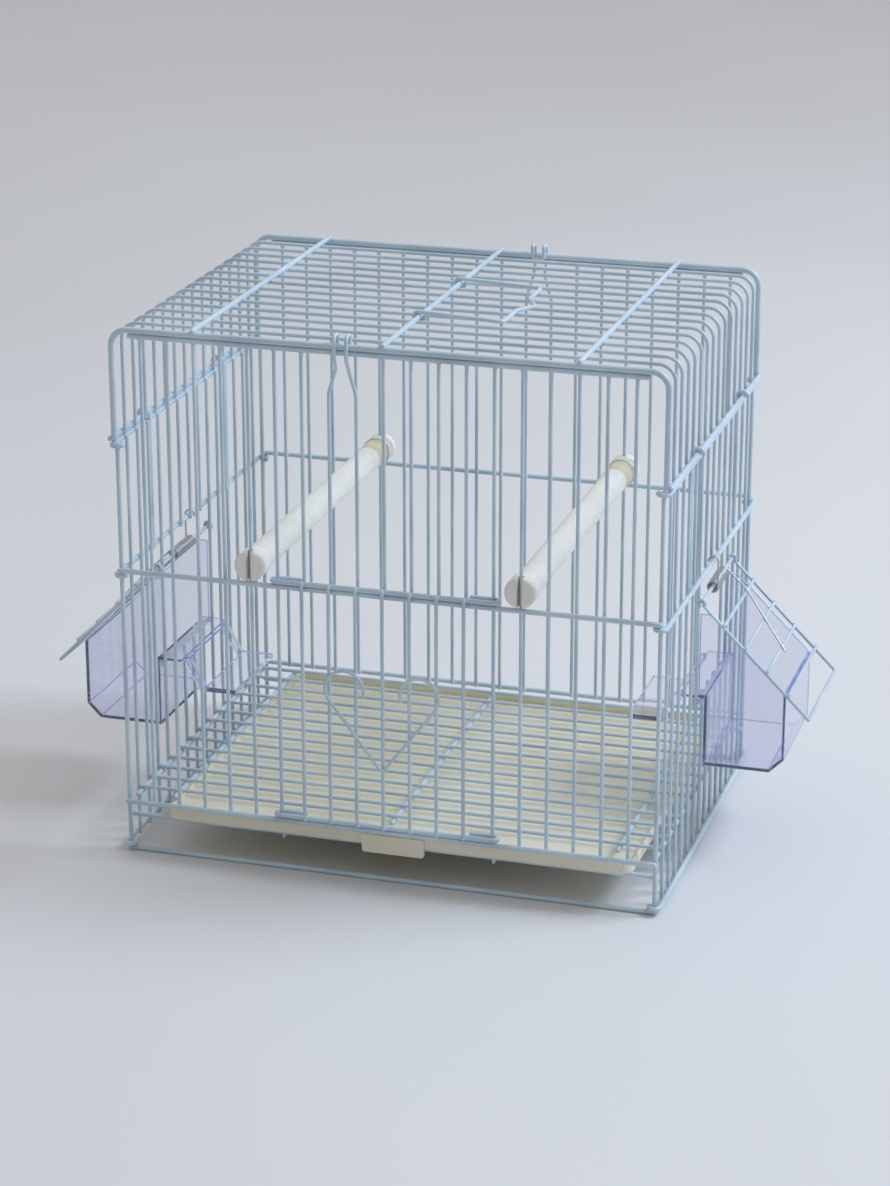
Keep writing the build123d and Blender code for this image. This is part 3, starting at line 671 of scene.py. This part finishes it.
CURL = THIN + RAIL + RUNNING_GAP
DOOR_OUTER = -HALF_D - CURL
DOOR_INNER = -HALF_D + CURL
DOOR_WIRE_Y = DOOR_OUTER - RAIL_OUT
DOOR_BOTTOM = SILL_RAIL + 2 * RAIL + SEAT_GAP
DOOR_TOP = MIDDLE_RAIL + 2 * RAIL + SEAT_GAP
TIP = 12.0
door = Wires()
for height in (DOOR_BOTTOM, DOOR_TOP):
    left = arc((-DOOR_GUIDE, -HALF_D, height), (1, 0, 0), (0, 1, 0), CURL, 90, 180)
    right = arc((DOOR_GUIDE, -HALF_D, height), (1, 0, 0), (0, 1, 0), CURL, -90, 180)
    tips = [(-DOOR_GUIDE + TIP, DOOR_INNER, height)], [(DOOR_GUIDE - TIP, DOOR_INNER, height)]
    door.path(tips[0] + left + right + tips[1], RAIL)
for number in DOORWAY:
    x = wire_x(number)
    door.path([(x, DOOR_WIRE_Y, DOOR_BOTTOM - THIN), (x, DOOR_WIRE_Y, DOOR_TOP + THIN)], THIN)
    for height in (DOOR_BOTTOM, DOOR_TOP):
        door.weld((x, DOOR_WIRE_Y + THIN - WELD_DEPTH / 2, height))
place_wires(door, "sliding_door", "door")

HEART_POINT = 58.0
HEART_BEND = 1.2
LOBE = (18.2, 97.3)
LOBE_RADIUS = 9.4
HEART_END = 200.0
heart_y = DOOR_WIRE_Y - THIN - HEART + TOUCH
lobe_rise = LOBE[1] - HEART_POINT
start = degrees(atan2(lobe_rise, LOBE[0]) - asin(LOBE_RADIUS / hypot(LOBE[0], lobe_rise))) - 90
halves = []
for side in (-1, 1):
    lobe = (side * LOBE[0], heart_y, LOBE[1])
    halves.append(arc(lobe, (side, 0, 0), (0, 0, 1), LOBE_RADIUS, start, HEART_END - start, HEART_STEP))
heart = Wires()
point = bent([halves[0][0], (0, heart_y, HEART_POINT), halves[1][0]], [HEART_BEND])
heart.path(list(reversed(halves[0])) + point[1:-1] + halves[1], HEART)
for number in DOORWAY:
    x = wire_x(number)
    for half in halves:
        for before, after in zip(half, half[1:]):
            if (before.x - x) * (after.x - x) < 0:
                share = (x - before.x) / (after.x - before.x)
                heart.weld((x, heart_y + HEART, before.z + (after.z - before.z) * share))
place_wires(heart, "door_heart", "door")

# Feeders: hinge rods, flaps and torsion springs

ROD_X = SIDE_WIRE_X + 2 * THIN - TOUCH
PIVOT = 127.5
SLOPE = radians(45.0)
FLAP_LENGTH = 75.0
RUNGS = 4
FLAP_PLAY = 0.5
FLAP_SIDE = THIN + FLAP_PLAY + FLAP
FLAP_Y = (OPENING[0] - FLAP_SIDE, OPENING[1] + FLAP_SIDE)
COIL = 2.55
RUNG_OUT = COIL - SPRING - SEAT_GAP - FLAP
FLAP_EYE = THIN + FLAP + EYE_GAP
FLAP_EYE_FOOT = FLAP_EYE + 1.2
FLAP_EYE_TURN = 300
FLAP_SIDE_TOP = FLAP_EYE + 1.0
SPRING_START = 2.5
SPRING_PITCH = 1.5
SPRING_TURNS = 16
SPRING_TIP = 0.9

# The spring's long end: distances down the flap, each with its shift along the cage
SPRING_LEG = ((0.0, 0.0), (14.0, 1.2), (47.0, -17.0))
SPRING_LEG_BEND = 7.0


def on_flap(along_flap, out, y, side):
    """A point of the flap: its distance from the rod, height off the flap and place along the cage."""
    return turned(ROD_X + along_flap * cos(SLOPE) + out * sin(SLOPE), y,
                  PIVOT - along_flap * sin(SLOPE) + out * cos(SLOPE), side)


def coil_point(angle, side):
    """A point of the spring's coil, which starts on the outside and goes down."""
    return turned(ROD_X + COIL * cos(angle), SPRING_START + SPRING_PITCH * angle / (2 * pi),
                  PIVOT - COIL * sin(angle), side)


def flap(side):
    """A ladder of wires with an eye at the top of each side wire."""
    wires = Wires()
    for y in FLAP_Y:
        down = (side * cos(SLOPE), 0, -sin(SLOPE))
        out = (side * sin(SLOPE), 0, cos(SLOPE))
        eye = arc(on_flap(0, 0, y, side), down, out, FLAP_EYE, 0, FLAP_EYE_TURN)
        wires.path([on_flap(FLAP_LENGTH, 0, y, side), on_flap(FLAP_SIDE_TOP, 0, y, side)], FLAP)
        wires.path([on_flap(FLAP_EYE_FOOT, 0, y, side)] + eye, FLAP)
    low, high = FLAP_Y[0] - FLAP, FLAP_Y[1] + FLAP
    for rung in range(1, RUNGS + 1):
        distance = rung * FLAP_LENGTH / (RUNGS + 1)
        wires.path([on_flap(distance, RUNG_OUT, low, side), on_flap(distance, RUNG_OUT, high, side)], FLAP)
        for y in FLAP_Y:
            wires.weld(on_flap(distance, RUNG_OUT / 2, y, side))
    wires.path([on_flap(FLAP_LENGTH, 0, low, side), on_flap(FLAP_LENGTH, 0, high, side)], FLAP)
    return wires


def spring_hook(side):
    """The spring's short end: hooked over the middle rail, down to the coil, and its first turn."""
    outer = ROD_X + COIL
    inside = outer - SIDE_RAIL_X
    centre = turned(SIDE_RAIL_X, SPRING_START, SIDE_MIDDLE, side)
    over = arc(centre, (side, 0, 0), (0, 0, 1), inside, 180, -180)
    turn = [coil_point(2 * pi * step / COIL_STEPS, side) for step in range(COIL_STEPS + 1)]
    wires = Wires()
    wires.path([over[0] - Vector((0, 0, SPRING_TIP))] + over + turn, SPRING)
    return wires


def spring_body(side):
    """The rest of the coil, and the long end that presses on the flap's rungs."""
    total = 2 * pi * SPRING_TURNS - SLOPE
    steps = COIL_STEPS * (SPRING_TURNS - 1)
    coil = [coil_point(2 * pi + (total - 2 * pi) * step / steps, side) for step in range(steps + 1)]
    end_y = coil[-1].y * side
    leg = bent([on_flap(down, COIL, end_y + shift, side) for down, shift in SPRING_LEG], [SPRING_LEG_BEND])
    wires = Wires()
    wires.path(coil + leg[1:], SPRING)
    return wires


for side_name, side in (("left", -1), ("right", 1)):
    rod = Wires()
    overhang = FLAP + RUNNING_GAP + THIN
    rod.path([turned(ROD_X, y, PIVOT, side) for y in (FLAP_Y[0] - overhang, FLAP_Y[1] + overhang)], THIN)
    for y in OPENING:
        rod.weld(turned(SIDE_WIRE_X + THIN, y, PIVOT, side))
    place_wires(rod, f"flap_hinge_rod_{side_name}")
    place_wires(flap(side), f"feeder_flap_{side_name}", f"{side_name}_flap")
    node = f"flap_spring_{side_name}"
    hook = spring_hook(side).make(f"{node}_hook", ZINC, SPRING_SIDES)
    place_piece(hook, "cage", "spring_steel", node)
    coil = spring_body(side).make(f"{node}_coil", ZINC, SPRING_SIDES)
    place_piece(coil, f"{side_name}_flap", "spring_steel", node)


# Moulded pieces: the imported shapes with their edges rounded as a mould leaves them

RIM_WIDTH = 1.3
MERGE_DISTANCE = 0.002
FLAT_ANGLE = radians(1.5)
SHARP_ANGLE = radians(32)
CREASE_ANGLE = radians(40)
LOFT_CREASE_ANGLE = radians(38)


def softened(node, name, finish, edge_mm, rim=None):
    """A copy of a CAD node with rounded edges; its narrow faces can have a finish of their own."""
    form = bmesh.new()
    form.from_mesh(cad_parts[node].data)
    bmesh.ops.remove_doubles(form, verts=form.verts, dist=MERGE_DISTANCE * MM)
    bmesh.ops.dissolve_limit(form, angle_limit=FLAT_ANGLE, verts=form.verts, edges=form.edges)
    sharp = [edge for edge in form.edges
             if len(edge.link_faces) == 2 and edge.calc_face_angle(0.0) > SHARP_ANGLE]
    bmesh.ops.bevel(form, geom=sharp, offset=edge_mm * MM, segments=3, profile=0.5, affect="EDGES",
                    clamp_overlap=True)
    # Painted light: faces narrower than the rim width take the rim finish.
    if rim is not None:
        for face in form.faces:
            width = face.calc_area() / (face.calc_perimeter() / 2)
            face.material_index = int(width < RIM_WIDTH * MM)
    mesh = bpy.data.meshes.new(name)
    form.to_mesh(mesh)
    form.free()
    mesh.shade_smooth()
    mesh.set_sharp_from_angle(angle=CREASE_ANGLE)
    mesh.materials.append(finish)
    if rim is not None:
        mesh.materials.append(rim)
    piece = new_object(name, mesh)
    piece.modifiers.new("flat_faces_stay_flat", "WEIGHTED_NORMAL").keep_sharp = True
    apply_modifiers(piece)
    return piece


def lofted(rings, name, finish):
    """A closed skin through rings of points, in millimetres."""
    count = len(rings[0])
    mesh = bpy.data.meshes.new(name)
    faces = [(row * count + step, row * count + (step + 1) % count, (row + 1) * count + (step + 1) % count,
              (row + 1) * count + step) for row in range(len(rings) - 1) for step in range(count)]
    last = (len(rings) - 1) * count
    faces += [tuple(reversed(range(count))), tuple(range(last, last + count))]
    mesh.from_pydata([Vector(point) * MM for ring in rings for point in ring], [], faces)
    form = bmesh.new()
    form.from_mesh(mesh)
    bmesh.ops.recalc_face_normals(form, faces=form.faces)
    form.to_mesh(mesh)
    form.free()
    mesh.shade_smooth()
    mesh.set_sharp_from_angle(angle=LOFT_CREASE_ANGLE)
    mesh.materials.append(finish)
    return new_object(name, mesh)


place_piece(softened("tray", "tray_pan", TRAY_FINISH, 0.45), "tray_pan", "tray_plastic", "tray")

for side_name in ("left", "right"):
    for kind, edge_mm in (("feeder_cup", 0.35), ("perch_ledge", 0.4)):
        node = f"{kind}_{side_name}"
        # The clear pieces' rims take the painted-light finish.
        piece = softened(node, f"{node}_clear", CLEAR, edge_mm, CLEAR_EDGE_PAINTED_LIGHT)
        place_piece(piece, f"{side_name}_feeder", "clear_plastic", node)

# Perches: a finely ribbed shaft with a plain collar near the back cap

CAP_RADIUS = 7.35
CAP_REACH = 4.0
CAP_LENGTH = 11.0
PERCH_Z = MIDDLE_RAIL + RAIL + CAP_RADIUS + SEAT_GAP
SHAFT_END = HALF_D + CAP_REACH - CAP_LENGTH
SHAFT_RADIUS = 6.5
SHAFT_EDGE = 0.4
COLLAR_LENGTH = 14.0
COLLAR_SCALE = 1.03
RIBS = 24
RIB_STEPS = 8
RIB_DEPTH = 0.24


def shaft_ring(x, y, scale, ribbed):
    """One ring of the shaft; ribs run along it."""
    ring = []
    for step in range(RIBS * RIB_STEPS):
        angle = 2 * pi * step / (RIBS * RIB_STEPS)
        groove = max(0.0, cos(RIBS * angle)) ** 3 * RIB_DEPTH if ribbed else 0.0
        radius = SHAFT_RADIUS * scale - groove
        ring.append((x + radius * cos(angle), y, PERCH_Z + radius * sin(angle)))
    return ring


for side_name, side in (("left", -1), ("right", 1)):
    body = f"{side_name}_perch"
    x = side * PERCH_X
    collar = SHAFT_END - COLLAR_LENGTH
    rows = ((-SHAFT_END, 0.96), (-SHAFT_END + SHAFT_EDGE, 1.0), (collar, 1.0))
    shaft = lofted([shaft_ring(x, *row, True) for row in rows], f"perch_shaft_{side_name}_ribbed", IVORY)
    place_piece(shaft, body, "perch_plastic", f"perch_shaft_{side_name}")
    rows = ((collar, 0.99), (collar + SHAFT_EDGE, COLLAR_SCALE), (SHAFT_END - SHAFT_EDGE, COLLAR_SCALE),
            (SHAFT_END, 0.99))
    sleeve = lofted([shaft_ring(x, *row, False) for row in rows], f"perch_collar_{side_name}", YELLOWED)
    place_piece(sleeve, body, "perch_plastic", f"perch_shaft_{side_name}")
    for end_name in ("front", "back"):
        node = f"perch_cap_{side_name}_{end_name}"
        place_piece(softened(node, f"{node}_moulded", IVORY, 0.3), body, "perch_plastic", node)

# Floor, light and camera

FLOOR_HALF = 40.0
FLOOR_CORNERS = [(-FLOOR_HALF, -FLOOR_HALF, 0), (FLOOR_HALF, -FLOOR_HALF, 0),
                 (FLOOR_HALF, FLOOR_HALF, 0), (-FLOOR_HALF, FLOOR_HALF, 0)]
floor_mesh = bpy.data.meshes.new("table_top")
floor_mesh.from_pydata(FLOOR_CORNERS, [], [(0, 1, 2, 3)])
floor_mesh.materials.append(floor_finish())
new_object("table_top", floor_mesh)

# One soft lamp stands at the right, a little behind the cage, and points at the cage's middle.
key_place = Vector((1.5, 0.5, 1.7))
key_aim = Vector((0, 0, 0.13))
key_lamp = bpy.data.lights.new("key_softbox", "AREA")
key_lamp.size = 0.8
key_lamp.energy = 33.0
key_lamp.color = hex_colour("DCEAFF")[:3]
key = new_object("key_softbox", key_lamp)
key.location = key_place
key.rotation_euler = (key_place - key_aim).to_track_quat("Z", "Y").to_euler()

# The room is bright above and behind, darker towards the camera, warm on the left and cool on the right.
world = bpy.data.worlds.new("studio")
world.use_nodes = True
sky = world.node_tree
sky.nodes.clear()
direction = put(sky, "ShaderNodeTexCoord").outputs["Generated"]
way = put(sky, "ShaderNodeSeparateXYZ", {"Vector": direction}).outputs
across = put(sky, "ShaderNodeMapRange", {"Value": way["X"], "From Min": -1.0}).outputs["Result"]
depth = put(sky, "ShaderNodeMapRange", {"Value": way["Y"], "From Min": -1.0, "To Min": 0.4, "To Max": 1.1})
tone = ramp(sky, across, ((0.0, "EFE2CF"), (1.0, "DCE9FF")))
height = ramp(sky, way["Z"], ((0.0, 0.30), (1.0, 1.0)))
lit = put(sky, "ShaderNodeVectorMath", {0: tone, 1: height}, operation="MULTIPLY").outputs["Vector"]
room = put(sky, "ShaderNodeVectorMath", {0: lit, "Scale": depth.outputs["Result"]}, operation="SCALE")
light = put(sky, "ShaderNodeBackground", {"Color": room.outputs["Vector"], "Strength": 1.08})

# Past the floor, the eye and everything glossy or clear see a pale wall.
rays = put(sky, "ShaderNodeLightPath").outputs
direct = put(sky, "ShaderNodeMath", {
    0: rays["Is Camera Ray"], 1: rays["Is Transmission Ray"]}, operation="MAXIMUM")
seen = put(sky, "ShaderNodeMath", {0: direct.outputs["Value"], 1: rays["Is Glossy Ray"]}, operation="MAXIMUM")
wall = put(sky, "ShaderNodeBackground", {"Color": hex_colour("DADCDF")})
both = put(sky, "ShaderNodeMixShader", {
    0: seen.outputs["Value"], 1: light.outputs["Background"], 2: wall.outputs["Background"]})
put(sky, "ShaderNodeOutputWorld", {"Surface": both.outputs["Shader"]})
bpy.context.scene.world = world
bpy.context.scene.view_settings.view_transform = "Standard"

# The camera stands right of the front, above the cage; the lens is written against a 24 mm high sensor.
AZIMUTH = radians(16.80)
ELEVATION = radians(19.46)
DISTANCE = 1.5693
TARGET = Vector((-0.00054, 0.0, 0.1119))
back = Vector((sin(AZIMUTH) * cos(ELEVATION), -cos(AZIMUTH) * cos(ELEVATION), sin(ELEVATION)))
lens = bpy.data.cameras.new("camera")
lens.sensor_fit = "VERTICAL"
lens.sensor_height = 24.0
lens.lens = 64.8
camera = new_object("camera", lens)
camera.location = TARGET + back * DISTANCE
camera.rotation_euler = back.to_track_quat("Z", "Y").to_euler()
bpy.context.scene.camera = camera
